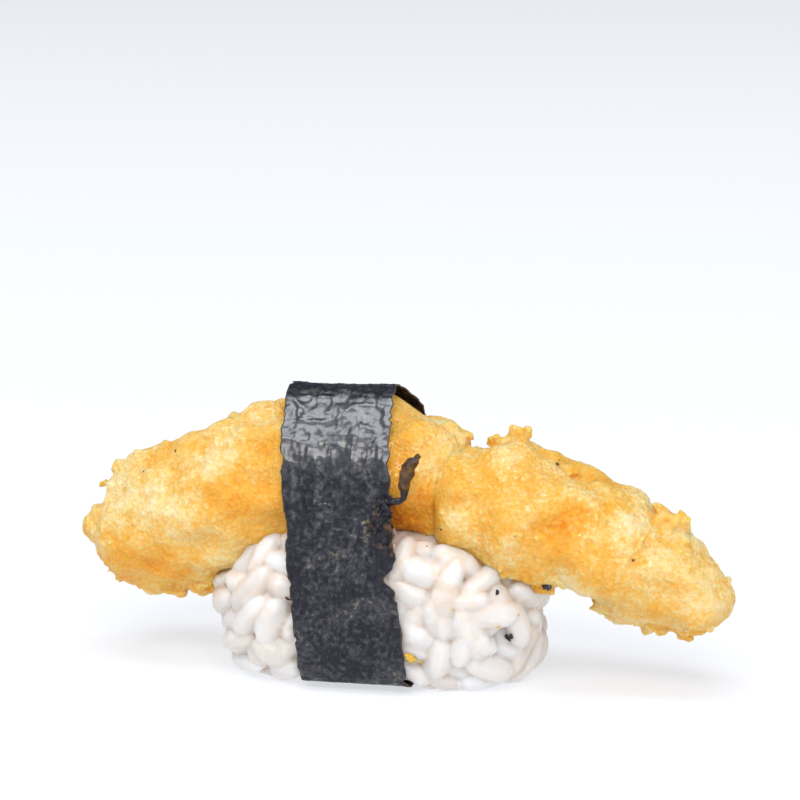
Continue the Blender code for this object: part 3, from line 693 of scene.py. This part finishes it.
foot = 2 * STRAP_GAP + 2 * STRAP_THICKNESS
shrimp_points = points_of(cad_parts["shrimp_tempura"].data)
near = abs(shrimp_points[:, 0] - STRAP_TOP_X) < STRAP_WIDTH / 2 + 1
cloud = np.vstack([shrimp_points[near][:, 1:], block_rim(STRAP_FOOT_X)])
cloud[:, 1] = np.maximum(cloud[:, 1], foot)
hull = cloud[geometry.convex_hull_2d([tuple(p) for p in cloud])]
turn = np.linspace(-math.pi / 2, 1.5 * math.pi, STRAP_WAYS + 1)[:-1]
outward = np.stack([np.cos(turn), np.sin(turn)], 1)
support = (outward @ hull.T).max(1)
taut = hull[(outward @ hull.T).argmax(1)] + outward * STRAP_GAP


def round_corners(line, count=600):
    """The sheet is stiff, so it rounds the corners of the taut line: even steps along it, each averaged
    with its neighbours by a bell-shaped weight, except near the table."""
    closed = np.vstack([line, line[:1]])
    run = distance_along(closed)
    line = read_line(closed, run, np.linspace(0, run[-1], count + 1)[:-1])
    step = np.minimum(np.arange(count), count - np.arange(count)) * run[-1] / count
    weight = np.exp(-((step / STRAP_SOFTEN) ** 2))
    spread = np.fft.rfft(weight / weight.sum())[:, None]
    soft = np.fft.irfft(np.fft.rfft(line, axis=0) * spread, count, axis=0)
    soft += (soft - [0, 20]) * 0.008
    high = smooth_step(line[:, 1], foot + 1.0, foot + 5.0)[:, None]
    return line * (1 - high) + soft * high


taut = round_corners(taut)
loop_start = np.array([[0.0, taut[:, 1].min()]])
loop = np.vstack([loop_start, taut[1:], loop_start])


def tuck_inside(points, slack):
    """Points in the strap's way are pressed inwards until they lie slack inside the loop."""
    strap_middle = STRAP_FOOT_X + (STRAP_TOP_X - STRAP_FOOT_X) * points[:, 2] / STRAP_TOP_Z
    beside = abs(points[:, 0] - strap_middle) - STRAP_WIDTH / 2
    over = points[:, 1:] @ outward.T - support
    worst = over.argmax(1)
    row = np.arange(len(points))
    press = np.maximum(over[row, worst] + slack, 0) * (1 - smooth_step(beside, 0.2, 1.4))
    out = points.copy()
    out[:, 1:] -= outward[worst] * press[:, None]
    return out


def set_on_table(points, skin=0.6, least=0.02):
    """The board pressed the lowest grains flat: heights under skin are squeezed to stay above least."""
    low = points[:, 2] < skin
    room = skin - least
    points[low, 2] = skin - room * np.tanh((skin - points[low, 2]) / room)
    return points


def nearest_beads(points, middle, axis, chunk=6000):
    """For each point the number of the nearest grain, and how much nearer it is than the next one."""
    reach = 1.2 * GRAIN_HALF_LENGTH - GRAIN_HALF_WIDTH
    beads = middle[:, None] + axis[:, None] * np.array([[-reach], [0.0], [reach]])
    first, lead = [], []
    for some in np.array_split(points, len(points) // chunk + 1):
        far = np.linalg.norm(some[:, None] - beads.reshape(1, -1, 3), axis=2)
        far = far.reshape(len(some), -1, 3).min(2)
        order = np.partition(far, 1, axis=1)
        first.append(far.argmin(1))
        lead.append(order[:, 1] - order[:, 0])
    return np.concatenate(first), np.concatenate(lead)


middle, axis = settle_grains()
shown = (1 - block_measure(middle)) * BLOCK_HALF.mean() < SHOWN_DEPTH
middle, axis = middle[shown], lay_down(middle[shown], axis[shown])
late, late_axis = loose_grains()
middle = np.vstack([middle, late])
axis = np.vstack([axis, lay_down(late, late_axis)])
grains = grain_skins(middle, axis, GRAIN_RINGS, GRAIN_SIDES)
grain_points = set_on_table(tuck_inside(grains.reshape(-1, 3), 0.25))
grain_part = (grain_points, *many_tubes(GRAIN_RINGS, GRAIN_SIDES, len(grains)))
ball = ball_skin(CORE_RINGS, CORE_SIDES)
ball = ball / ((abs(ball) ** BLOCK_POWER).sum(1) ** (1 / BLOCK_POWER))[:, None]
core = set_on_table(tuck_inside(BLOCK_CENTRE + ball * (BLOCK_HALF - CORE_INSET), 0.6))
core_part = (core, *tube_faces(CORE_RINGS, CORE_SIDES))
rice = knit_together("rice_grains", [grain_part, core_part], RICE_VOXEL, soften=1)
skin = points_of(rice.data)
push_out(rice, 0.05 * lumps(skin, 1.3, 63) * (skin[:, 2] > 0.5))
grain_number, lead = nearest_beads(skin, middle, axis)
lay_field(rice, "chalk", np.random.default_rng(3).uniform(0, 1, len(middle))[grain_number])
# Painted shade between the grains, stronger towards the top, where it also stands for warm light thrown down
# by the batter.
lay_field(rice, "painted_seam_shade", np.clip(1 - lead / 0.9, 0, 1) * (0.35 + 0.65 * smooth_step(skin[:, 2], 7, 19)))

rice_look, tree, shader, patch, grain = finish("cooked_rice", 420.0, 1300.0)
tone = add_up(-0.35, (field(tree, "chalk"), 1.0), (patch, 0.7))
colour = ramp_of(tone,
    (0.0, (0.63, 0.58, 0.53)),
    (0.5, (0.68, 0.655, 0.635)),
    (1.0, (0.73, 0.73, 0.73)),
)
# Painted shade: the seams are painted a warm brown.
painted_seam_shade = ramp_of(field(tree, "painted_seam_shade"), (0.20, 0.0), (1.0, 0.60))
colour = blend_colours(painted_seam_shade, colour, (0.72, 0.56, 0.42))
# Painted shade: hollows of the skin, where grains meet, are painted a warm brown.
painted_hollow_shade = tree.nodes.new("ShaderNodeNewGeometry").outputs["Pointiness"]
painted_hollow_shade = ramp_of(painted_hollow_shade, (0.41, 1.0), (0.49, 0.0))
dress(shader, {
    "Base Color": blend_colours(painted_hollow_shade, colour, (0.60, 0.46, 0.34)),
    "Roughness": ramp_of(patch, (0.35, 0.34), (0.65, 0.50)),
    "Coat Weight": ramp_of(patch, (0.42, 0.05), (0.62, 0.40)),
    "Coat Roughness": 0.12,
    "Subsurface Weight": 0.85,
    "Subsurface Radius": (1.0, 0.80, 0.62),
    "Subsurface Scale": 0.0032,
    "Normal": bump_of(grain, 0.00008, 0.7),
})
rice.data.materials.append(rice_look)
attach(rice, "root")
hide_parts("rice_ball")

# Seaweed strap ----------
# A strip cut from a roasted sheet of seaweed, wound once round the rice and the shrimp, its damp ends
# lapped under the block. It is brittle, with ragged edges, a crumpled tear and a shred that curls away in
# front at its right edge, and oil from the shrimp makes it shine above.
STRAP_BACK_SHIFT = 1.8
STRAP_LAP = 9.0
STRAP_RAG = 0.28
STRAP_SEED = 31
STRAP_STEPS = 520
STRAP_CELLS = 72
STRAP_SHEET = 0.22
TEAR_HEIGHT = 17.6
TEAR_DEPTH = 1.5
TEAR_HALF = 1.5
SHRED_STEPS, SHRED_CELLS = 60, 11
SCRAP_CELLS = 12
# Middle of the curled shred (x, y, z) and its width.
SHRED_LINE = np.array([
    (-1.6, -12.3, 28.4, 1.7), (0.4, -12.35, 28.5, 1.2), (1.9, -12.6, 29.0, 0.7), (2.5, -12.9, 30.3, 0.9),
    (2.6, -13.0, 31.8, 1.7), (3.0, -12.9, 33.4, 1.9), (3.9, -12.6, 34.8, 1.3), (4.8, -12.4, 35.7, 0.5),
])
# Crumpled scraps on the torn edge: middle (x, y, z), width, height and turn about Y in degrees.
SCRAPS = (
    (-0.9, -12.7, 28.2, 1.3, 2.6, 35), (0.1, -12.75, 27.3, 1.0, 2.4, -25),
    (-0.6, -12.95, 25.8, 1.5, 2.8, 8), (0.4, -13.0, 24.6, 1.0, 2.8, -14),
    (0.0, -13.15, 22.6, 1.4, 2.4, 30), (0.6, -13.2, 21.4, 0.9, 2.6, -8),
    (-1.9, -13.05, 24.9, 1.3, 2.2, 60),
)


def along(line, at):
    """Points and outward normals (y, z) of the loop at distances at, which may go on past one round."""
    run = distance_along(line)
    here, ahead, behind = (read_line(line, run, (at + step) % run[-1]) for step in (0.0, 1.2, -1.2))
    way = unit(ahead - behind)
    return here, np.stack([way[:, 1], -way[:, 0]], 1)


def strap_edges(at, z, back):
    """The strap's two ragged edges (x), leaning from its foot to its top, with the tear in its front right
    edge and small nicks in both."""
    middle = STRAP_FOOT_X + (STRAP_TOP_X - STRAP_FOOT_X) * z / STRAP_TOP_Z + STRAP_BACK_SHIFT * back
    rng = np.random.default_rng(STRAP_SEED)
    line = np.stack([at, 0 * at, 0 * at], 1)
    edges = []
    for sign in (-1, 1):
        rag = np.zeros(len(at))
        for length in (11.0, 5.2, 2.9):
            rag += np.sin(2 * np.pi * at / length + rng.uniform(0, 2 * math.pi)) * rng.uniform(0.3, 0.5)
        rag += 0.5 * lumps(line, 1.1, 70 + sign)
        tear = TEAR_DEPTH * np.exp(-(((z - TEAR_HEIGHT) / TEAR_HALF) ** 2)) * (sign > 0) * (back < 0.5)
        nicks = 1.1 * np.maximum(lumps(line, 1.4, 74 + sign) - 0.45, 0) - 0.07 * lumps(line, 0.7, 80 + sign)
        rag *= STRAP_RAG * (0.75 if sign > 0 else 0.45)
        edges.append(middle + sign * (STRAP_WIDTH / 2 + rag - tear - nicks))
    return edges


def wrinkles(flat, top):
    """Height of the sheet over the taut line at places flat on it: broad waves, creases of three sizes and
    a fine grain. The shrimp stretches the creases over the top."""
    wave = 0.26 * lumps(flat, 9.0, 75) + 0.16 * lumps(flat * [1.0, 0.6, 1.0], 4.4, 76)
    crease = 0.20 * ridges(flat * [1.0, 1.3, 1.0], 4.2, 77, 4.0) + 0.12 * ridges(flat, 2.2, 78, 3.0)
    crease += 0.13 * ridges(flat, 1.15, 79, 4.0) + 0.08 * ridges(flat, 0.75, 80, 3.0)
    return np.maximum(wave, -0.10) + (crease - 0.13) * (1.0 - 0.3 * top)


around = distance_along(loop)[-1]
at = np.linspace(-STRAP_LAP / 2, around + STRAP_LAP / 2, STRAP_STEPS)
here, facing = along(loop, at)
lift = (STRAP_THICKNESS + STRAP_GAP) * smooth_step(at, around - STRAP_LAP * 1.3, around - STRAP_LAP * 0.6)
back = smooth_step(here[:, 0], 2.0, 8.0)
left, right = strap_edges(at, here[:, 1], back)
share = np.linspace(0, 1, STRAP_CELLS)
x = left[:, None] * (1 - share) + right[:, None] * share
z = here[:, 1:] + 0 * x
flat = np.stack([x, at[:, None] + 0 * x, 0 * x], -1).reshape(-1, 3)
over_top = smooth_step(z, 30.0, 39.0)
stand = STRAP_THICKNESS * 0.4 + wrinkles(flat, over_top.ravel()).reshape(x.shape)
stand = np.maximum(stand, 0.02) + lift[:, None]
# By the tear the sheet is pitted and frayed.
frayed = np.exp(-(((x - right[:, None]) / 3.2) ** 2) - ((z - 24.5) / 4.5) ** 2) * (back < 0.5)[:, None]
stand += frayed * 0.45 * lumps(flat, 1.3, 83).reshape(x.shape)
grounded = smooth_step(z, 0.2, 4.0)
stand = stand * grounded + (STRAP_THICKNESS * 0.5 + lift[:, None]) * (1 - grounded)
sheet = np.stack([x, here[:, :1] + facing[:, :1] * stand, here[:, 1:] + facing[:, 1:] * stand], -1)
strap = new_piece("seaweed_strap", sheet.reshape(-1, 3), grid_faces(STRAP_STEPS, STRAP_CELLS)[:, ::-1])
lay_field(strap, "edge", np.minimum(x - left[:, None], right[:, None] - x).ravel())
lay_field(strap, "oily", (smooth_step(z, 30.5, 35.0) * (1 - 0.9 * smooth_step(z, 41.0, 42.4))).ravel())
# Places marked thin get painted light, a brown as if light shone through the sheet, and less coat.
lay_field(strap, "thin", (frayed * 0.6 + 0.5 * (back[:, None] * over_top) * (share > 0.7)).ravel())


def jostle(points, size, seed):
    """A shift of each point by its own lumps along each axis."""
    return np.stack([lumps(points, size, seed + k) for k in range(3)], 1)


line = smooth_through(SHRED_LINE, SHRED_STEPS)
way = np.gradient(line[:, :3], axis=0)
across = unit(np.stack([-way[:, 2], np.zeros(len(way)), way[:, 0]], 1))
share = np.linspace(-0.5, 0.5, SHRED_CELLS)
ribbon = line[:, None, :3] + across[:, None] * (share[None, :, None] * line[:, None, 3:])
ribbon[..., 1] -= 0.9 * (1 - (2 * share) ** 2) * line[:, 3:] / 2
ribbon = ribbon.reshape(-1, 3)
ribbon = ribbon + 0.28 * jostle(ribbon, 0.8, 84)
shred = new_piece("seaweed_shred", ribbon, grid_faces(SHRED_STEPS, SHRED_CELLS))
lay_field(shred, "edge", (line[:, 3:] * (0.5 - abs(share))).ravel())
# The shred's curled top is marked thin: painted light shining through it.
lay_field(shred, "thin", np.repeat(0.6 * smooth_step(line[:, 2], 29.0, 31.5), SHRED_CELLS))


def scrap_sheets(rows, cells):
    """Scraps: each is a small sheet, as wide as its middle height and pointed above and below, crumpled and
    made ragged by ridges and lumps."""
    u, v = np.meshgrid(np.linspace(-1, 1, cells), np.linspace(-1, 1, cells), indexing="ij")
    u, v = u.ravel() * (1 - 0.8 * v.ravel() ** 2), v.ravel()
    rows = np.array(rows)[:, None]
    wide, tall, turn = rows[..., 3] / 2, rows[..., 4] / 2, np.radians(rows[..., 5])
    cos, sin = np.cos(turn), np.sin(turn)
    spread = np.stack([u * wide * cos + v * tall * sin, 0 * u * wide, v * tall * cos - u * wide * sin], -1)
    flat = (rows[..., :3] + spread).reshape(-1, 3)
    flat = flat + 0.38 * jostle(flat, 0.6, 87)
    flat[:, 1] -= 0.5 * ridges(flat, 1.2, 91, 2.0)
    return flat


faces = many_of(grid_faces(SCRAP_CELLS, SCRAP_CELLS), len(SCRAPS), SCRAP_CELLS**2)
scraps = new_piece("seaweed_scraps", scrap_sheets(SCRAPS, SCRAP_CELLS), faces)
lay_field(scraps, "edge", 0.5)
# The scraps are marked a little thin: some painted light shining through them.
lay_field(scraps, "thin", 0.25)

seaweed_look, tree, shader, patch, grain = finish("roasted_seaweed", 260.0, 1300.0)
base = ramp_of(grain,
    (0.42, (0.002, 0.002, 0.004)),
    (0.52, (0.006, 0.006, 0.010)),
    (0.68, (0.026, 0.026, 0.034)),
)
spots = add_up(-0.55, (grain, 1.0), (patch, 1.1))
base = blend_colours(ramp_of(spots, (0.70, 0.0), (0.80, 1.0)), base, (0.085, 0.085, 0.016))
thin = field(tree, "thin")
# Painted light: where the sheet is marked thin it is painted brown, as if light shone through it.
painted_light_through = add_up(-1.2, (thin, 1.0), (patch, 1.6), (grain, 0.8))
base = blend_colours(ramp_of(painted_light_through, (0.35, 0.0), (0.80, 1.0)), base, (0.16, 0.075, 0.015))
# Painted light: a brown glow along the ragged edges, as of light passing through the sheet's edge.
painted_edge_glow = add_up(-0.71, (field(tree, "edge"), 1.0), (grain, 0.7), (patch, 0.8))
base = blend_colours(ramp_of(painted_edge_glow, (0.02, 1.0), (0.16, 0.0)), base, (0.075, 0.040, 0.011))
gloss = add_up(-0.33, (field(tree, "oily"), 0.3), (thin, -0.6), (patch, 0.7), (grain, 0.8))
height = add_up(0.0, (grain, 1.0), (patch, 0.6), (bubbles_of(tree, 900.0), 0.35))
dress(shader, {
    "Base Color": base,
    "Roughness": ramp_of(grain, (0.38, 0.30), (0.62, 0.50)),
    "Specular IOR Level": 0.3,
    "Specular Tint": (0.80, 0.82, 1.0),
    "Coat Weight": ramp_of(gloss, (0.36, 0.12), (0.64, 0.95)),
    "Coat Roughness": 0.24,
    "Coat IOR": 1.75,
    "Normal": bump_of(height, 0.0004),
})
for piece in (strap, shred, scraps):
    thick = piece.modifiers.new("thick", "SOLIDIFY")
    thick.thickness = STRAP_SHEET * MM
    thick.offset = 0.0
    piece.data.materials.append(seaweed_look)
    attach(piece, "root")
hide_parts("nori_strap")

# Flecks and crumbs ----------
# Bits that fell on the food while it was made: flecks of seaweed and of burnt batter on the rice and the
# shrimp, and crumbs of fried batter. Each is a thin ragged chip that lies on the skin under it.
FLECK_RINGS, FLECK_SIDES = 5, 9
# Flecks on the front, of seaweed, burnt batter and golden batter: place (x, z) and size.
FRONT_FLECKS = {
    "seaweed": (
        (17.3, 8.6, 1.4), (17.9, 9.1, 0.9), (22.9, 16.5, 1.3), (15.9, 15.7, 0.7),
        (7.7, 24.6, 0.4), (7.0, 24.4, 0.3), (4.6, 22.6, 0.3), (5.4, 21.8, 0.25),
    ),
    "burnt": (
        (23.1, 33.2, 0.6), (35.5, 21.4, 0.45), (18.9, 24.9, 0.35), (-34.2, 33.0, 0.5),
        (-39.3, 29.6, 0.4), (-14.6, 17.0, 0.9), (-14.6, 13.8, 0.9),
    ),
    "golden": (
        (3.8, 6.0, 1.6), (5.2, 5.2, 0.8), (10.0, 13.6, 0.4), (19.0, 12.5, 0.5), (16.4, 11.0, 0.5),
    ),
}
# Ranges of x, z and size of the flecks behind, whose kinds take turns.
BACK_FLECKS = 14
BACK_RANGES = ((-22, 40), (6, 30), (0.3, 0.9))


def fleck_rows(kind):
    """Place, skin normal and size of each fleck of a kind. A ray from in front, or for the seeded ones from
    behind, finds where it lies."""
    rng = np.random.default_rng(101)
    seeded = np.stack([rng.uniform(low, high, BACK_FLECKS) for low, high in BACK_RANGES], 1)
    seeded = seeded[list(FRONT_FLECKS).index(kind)::len(FRONT_FLECKS)]
    rows = []
    for x, z, size, way in [(*row, 1) for row in FRONT_FLECKS[kind]] + [(*row, -1) for row in seeded]:
        hits = [skin.ray_cast(Vector((x, -60 * way, z)) * MM, Vector((0, way, 0))) for skin in food_skins]
        hits = [hit for hit in hits if hit[0] is not None]
        if hits:
            place, normal, _, _ = min(hits, key=lambda hit: hit[3])
            rows.append((*np.array(place) / MM, *normal, size))
    return np.array(rows)


def fleck_chips(rows, seed):
    """Flecks: each is a ball pressed flat along the skin's normal, with a ragged outline."""
    place, normal, size = rows[:, :3], rows[:, 3:6], rows[:, 6]
    rng = np.random.default_rng(seed)
    side = unit(np.cross(normal, rng.normal(size=place.shape)))
    axes = np.stack([side, np.cross(normal, side), normal], 1)
    long, wide = (rng.uniform(low, high, len(rows)) for low, high in ((0.8, 1.2), (0.5, 1.0)))
    half = size[:, None] / 2 * np.stack([long, wide, np.full(len(rows), 0.4)], 1)
    ball = ball_skin(FLECK_RINGS, FLECK_SIDES) * half[:, None]
    solid = place[:, None] + np.einsum("gpk,gkc->gpc", ball, axes)
    rough = jostle(solid.reshape(-1, 3), 0.45, seed).reshape(solid.shape)
    return solid + (rough * 0.28 + 0.2 * normal[:, None]) * size[:, None, None]


state = bpy.context.evaluated_depsgraph_get()
food_skins = [bvhtree.BVHTree.FromObject(piece, state) for piece in (*batter_pieces, rice)]
burnt_look, tree, shader, patch, grain = finish("burnt_batter", 500.0, 2500.0)
dress(shader, {
    "Base Color": ramp_of(grain, (0.4, (0.030, 0.012, 0.005)), (0.6, (0.12, 0.045, 0.012))),
    "Roughness": ramp_of(patch, (0.4, 0.4), (0.6, 0.65)),
    "Normal": bump_of(grain, 0.0001),
})
for kind, look, slot, seed in (
    ("seaweed", seaweed_look, "seaweed", 111),
    ("burnt", burnt_look, "batter", 121),
    ("golden", batter_look, "batter", 131),
):
    solid = fleck_chips(fleck_rows(kind), seed)
    faces = many_tubes(FLECK_RINGS, FLECK_SIDES, len(solid))
    flecks = new_piece(f"{kind}_flecks", solid.reshape(-1, 3), *faces)
    for name, value in (("browned_and_painted_light", 0.4), ("raised", 0.0), ("edge", 0.5), ("thin", 0.0)):
        lay_field(flecks, name, value)
    flecks.data.materials.append(look)
    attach(flecks, "root")

# Stage ----------
# A white table that glows a little, a large soft light in front, one overhead, a weak one low in front, and
# a pale room that is darker behind the food.
TABLE_HALF = 6000.0
corners = TABLE_HALF * np.array([(-1, -1, 0), (1, -1, 0), (1, 1, 0), (-1, 1, 0)])
table = new_piece("table_top", corners, np.array([[0, 1, 2, 3]]), smooth=False)
table_look, tree, shader, patch, _ = finish("white_table", 0.5, 3.0)
dress(shader, {
    "Base Color": (0.36, 0.36, 0.375),
    "Roughness": ramp_of(patch, (0.3, 0.58), (0.7, 0.62)),
    "Specular IOR Level": 0.2,
    "Emission Color": (0.95, 0.97, 1.0),
    "Emission Strength": 0.64,
})
table.data.materials.append(table_look)

# The way from the food to the middle of the room's darker part.
DARK_WAY = (0.1, 0.77, 0.63)
ROOM_STRENGTH = 0.62
scene = bpy.context.scene
room = bpy.data.worlds.new("bright_room")
scene.world = room
room.use_nodes = True
tree = room.node_tree
looking = new_node(tree, "TexCoord", {}).outputs["Generated"]
toward = new_node(tree, "VectorMath", {0: looking, 1: DARK_WAY}, operation="DOT_PRODUCT").outputs["Value"]
dress(tree.nodes["Background"], {
    "Color": ramp_of(toward, (0.55, (0.88, 0.94, 1.0)), (0.85, (0.20, 0.22, 0.25))),
    "Strength": ROOM_STRENGTH,
})


def softbox(name, place, width, depth, watts, colour):
    """A rectangular soft light at place, aimed at the food."""
    light = bpy.data.lights.new(name, "AREA")
    light.shape = "RECTANGLE"
    light.size, light.size_y = width, depth
    light.energy = watts
    light.color = colour
    lamp = bpy.data.objects.new(name, light)
    lamp.location = place
    lamp.rotation_euler = (-Vector(place)).to_track_quat("-Z", "Y").to_euler()
    scene.collection.objects.link(lamp)


softbox("above_front", (0.2, -1.45, 1.5), 1.6, 0.8, 23.5, (1.0, 0.98, 0.95))
softbox("overhead", (0.0, -0.3, 2.1), 1.5, 0.8, 22.5, (0.92, 0.93, 1.0))
softbox("low_front", (0.5, -1.7, 0.3), 1.6, 0.5, 5.0, (1.0, 0.97, 0.93))

scene.view_settings.view_transform = "Standard"
scene.view_settings.look = "None"

# The camera stands 0.4 m off, 12 degrees to the right of the front and 14 above, and looks a little over
# the food: it is turned up and left by the slopes below.
AZIMUTH, ELEVATION, DISTANCE = math.radians(12), math.radians(14), 0.4
LOOK_UP, LOOK_LEFT = 0.0523, 0.0021
FOCAL_LENGTH, SENSOR = 120.06, 36
middle = Vector((0, 0, 0.020))
level, rise = DISTANCE * math.cos(ELEVATION), DISTANCE * math.sin(ELEVATION)
place = middle + Vector((level * math.sin(AZIMUTH), -level * math.cos(AZIMUTH), rise))
aim = (middle - place).to_track_quat("-Z", "Y").to_matrix()
aim = aim @ Matrix.Rotation(math.atan(LOOK_UP), 3, "X") @ Matrix.Rotation(math.atan(LOOK_LEFT), 3, "Y")
lens = bpy.data.cameras.new("camera")
lens.lens = FOCAL_LENGTH
lens.sensor_width = SENSOR
lens.clip_end = 50
camera = bpy.data.objects.new("camera", lens)
camera.location = place
camera.rotation_euler = aim.to_euler()
scene.collection.objects.link(camera)
scene.camera = camera
